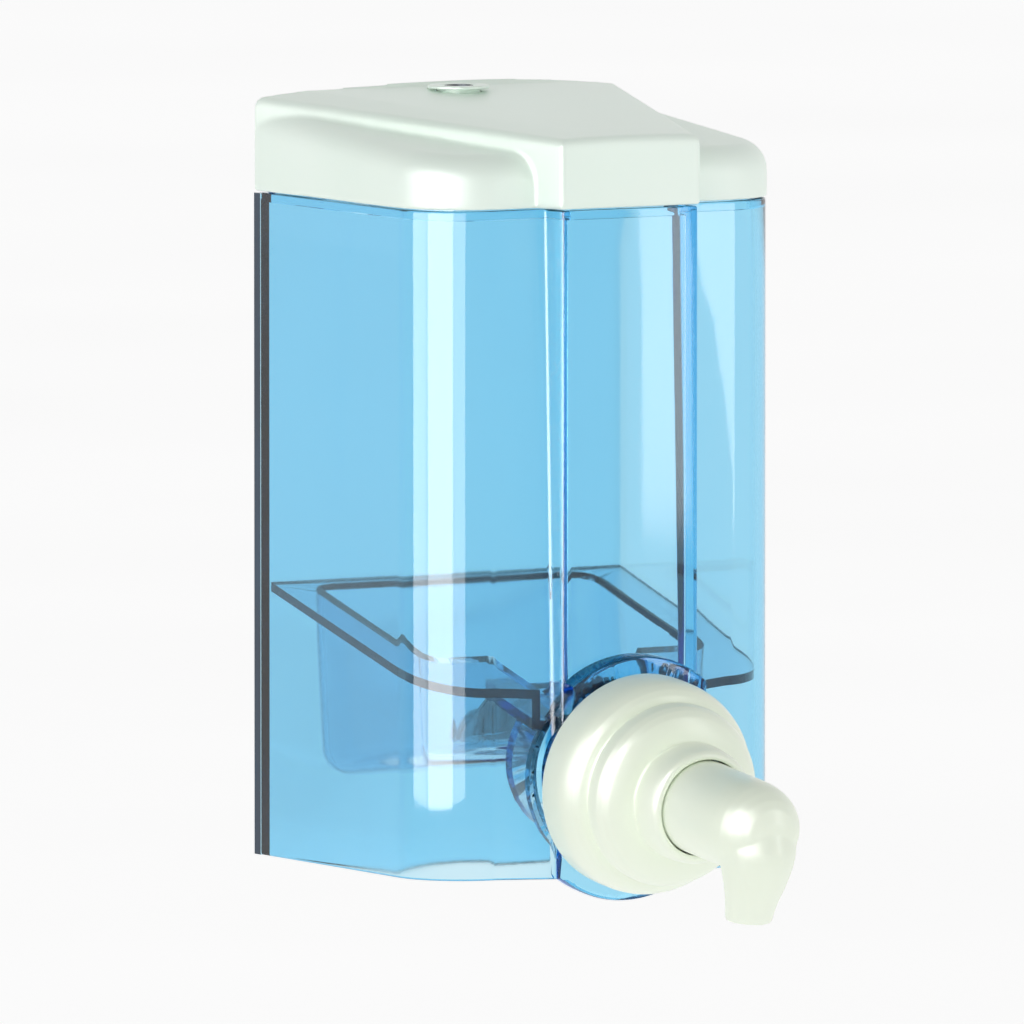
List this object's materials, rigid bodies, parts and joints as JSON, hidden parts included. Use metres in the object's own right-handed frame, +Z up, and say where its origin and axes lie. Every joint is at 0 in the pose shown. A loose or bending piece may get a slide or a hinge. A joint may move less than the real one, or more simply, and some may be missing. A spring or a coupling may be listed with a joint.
{
  "type": "wall mounted soap dispenser",
  "caption": "Wall mounted foam soap dispenser: see-through blue body over an inner tub, white lockable lift-off lid, and a white press pump with a down-turned spout.",
  "frame": {"origin": "centre of the wall plate's flat back face, 90 mm above the body's bottom edge", "axes": "+Z up; +Y points into the wall, so the pump and spout are on the -Y side; +X is to the right for someone facing the front"},
  "size_m": [0.1006, 0.1607, 0.1901],
  "materials": {
    "tinted_plastic": "clear blue moulded plastic, polished",
    "white_plastic": "white moulded plastic, satin",
    "pump_plastic": "creamy white moulded plastic, satin",
    "inner_plastic": "natural translucent plastic",
    "steel": "stainless steel",
    "seal_rubber": "matt elastomer",
    "lock_metal": "plated zinc"
  },
  "bodies": {
    "body": {"wall_plate": "tinted_plastic", "outer_shell": "tinted_plastic", "tank_tub": "tinted_plastic", "pump_closure": "pump_plastic", "neck_gasket": "seal_rubber", "pump_housing": "inner_plastic", "suction_tube": "inner_plastic", "return_spring": "steel"},
    "lid": {"lid": "white_plastic", "lock_sleeve": "white_plastic", "lock_nut": "lock_metal"},
    "lock": {"lock_plug": "lock_metal", "lock_tongue": "lock_metal", "lock_screw": "lock_metal"},
    "piston": {"air_piston": "inner_plastic", "liquid_piston": "inner_plastic", "air_valve_ring": "seal_rubber"},
    "actuator": {"actuator_spout": "pump_plastic", "foam_mixer": "inner_plastic", "mesh_cartridge": "inner_plastic", "mesh_coarse": "inner_plastic", "mesh_fine": "inner_plastic"},
    "inlet_valve": {"inlet_ball": "steel"},
    "outlet_valve": {"outlet_ball": "steel"}
  },
  "joints": [
    {"name": "pump_press", "type": "slide", "parent": "body", "child": "piston", "axis": [0, 0.9925, 0.1219], "range_m": [0, 0.012], "stiffness_N_per_m": 700, "springref_m": -0.006, "deforming": ["return_spring"]},
    {"name": "spout_swivel", "type": "hinge", "parent": "piston", "child": "actuator", "pos_m": [0, -0.12458, -0.07046], "axis": [0, -0.9925, -0.1219], "continuous": true},
    {"name": "lid_lift", "type": "slide", "parent": "body", "child": "lid", "axis": [0, 0, 1], "range_m": [0, 0.045]},
    {"name": "lock_turn", "type": "hinge", "parent": "lid", "child": "lock", "pos_m": [0, -0.011, 0.085], "axis": [0, 0, 1], "range_deg": [0, 90]},
    {"name": "inlet_ball_lift", "type": "slide", "parent": "body", "child": "inlet_valve", "axis": [0, -0.9925, -0.1219], "range_m": [0, 0.001]},
    {"name": "outlet_ball_lift", "type": "slide", "parent": "piston", "child": "outlet_valve", "axis": [0, -0.9925, -0.1219], "range_m": [0, 0.001]}
  ]
}
